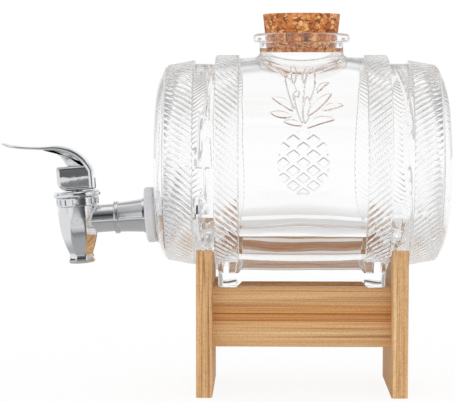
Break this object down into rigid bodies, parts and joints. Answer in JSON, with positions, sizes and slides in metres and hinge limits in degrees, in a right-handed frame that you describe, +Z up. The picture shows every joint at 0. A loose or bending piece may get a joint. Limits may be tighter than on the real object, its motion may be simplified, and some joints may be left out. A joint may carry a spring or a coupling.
{
  "type": "barrel drink dispenser",
  "caption": "Small glass drink barrel lying on a wooden stand, with a cork in its neck and a lever tap at one end.",
  "frame": {"origin": "on the table, under the middle of the whole length from the lever's tip to the closed end, on the plane that halves the depth", "axes": "+X along the barrel from the tap end to the closed end, +Z up, the front at -Y"},
  "size_m": [0.2408, 0.1156, 0.2012],
  "materials": {
    "clear_glass": "gloss",
    "cork": "matte",
    "wood": "satin",
    "chrome": "polished",
    "silicone": "satin",
    "steel": "satin"
  },
  "bodies": {
    "stand": {"left_leg": "wood", "right_leg": "wood", "front_rail": "wood", "rear_rail": "wood", "front_rail_dowels": "wood", "rear_rail_dowels": "wood"},
    "barrel": {"glass_barrel": "clear_glass", "tap_body": "chrome", "tap_shank": "chrome", "tap_bonnet": "chrome", "outer_gasket": "silicone", "inner_gasket": "silicone", "tap_nut": "chrome", "seat_cup": "silicone", "return_spring": "steel"},
    "cork": {"cork_stopper": "cork"},
    "stem": {"valve_stem": "steel", "lever_pin": "steel"},
    "lever": {"tap_lever": "chrome"}
  },
  "joints": [
    {"name": "barrel_lift", "type": "slide", "parent": "stand", "child": "barrel", "axis": [0, 0, 1], "range_m": [0, 0.12]},
    {"name": "cork_pull", "type": "slide", "parent": "barrel", "child": "cork", "axis": [0, 0, 1], "range_m": [0, 0.06]},
    {"name": "stem_lift", "type": "slide", "parent": "barrel", "child": "stem", "axis": [-0.0767, 0, 0.9971], "range_m": [0, 0.00246], "deforming": ["seat_cup", "return_spring"]},
    {"name": "lever_press", "type": "hinge", "parent": "stem", "child": "lever", "pos_m": [-0.08014, 0, 0.11174], "axis": [0, -1, 0], "range_deg": [0, 30], "stiffness_Nm_per_rad": 0.3, "springref_deg": -14.32}
  ],
  "couplings": [
    {"joint": "lever_press", "follows": "stem_lift", "rad_per_m": 212.77}
  ]
}
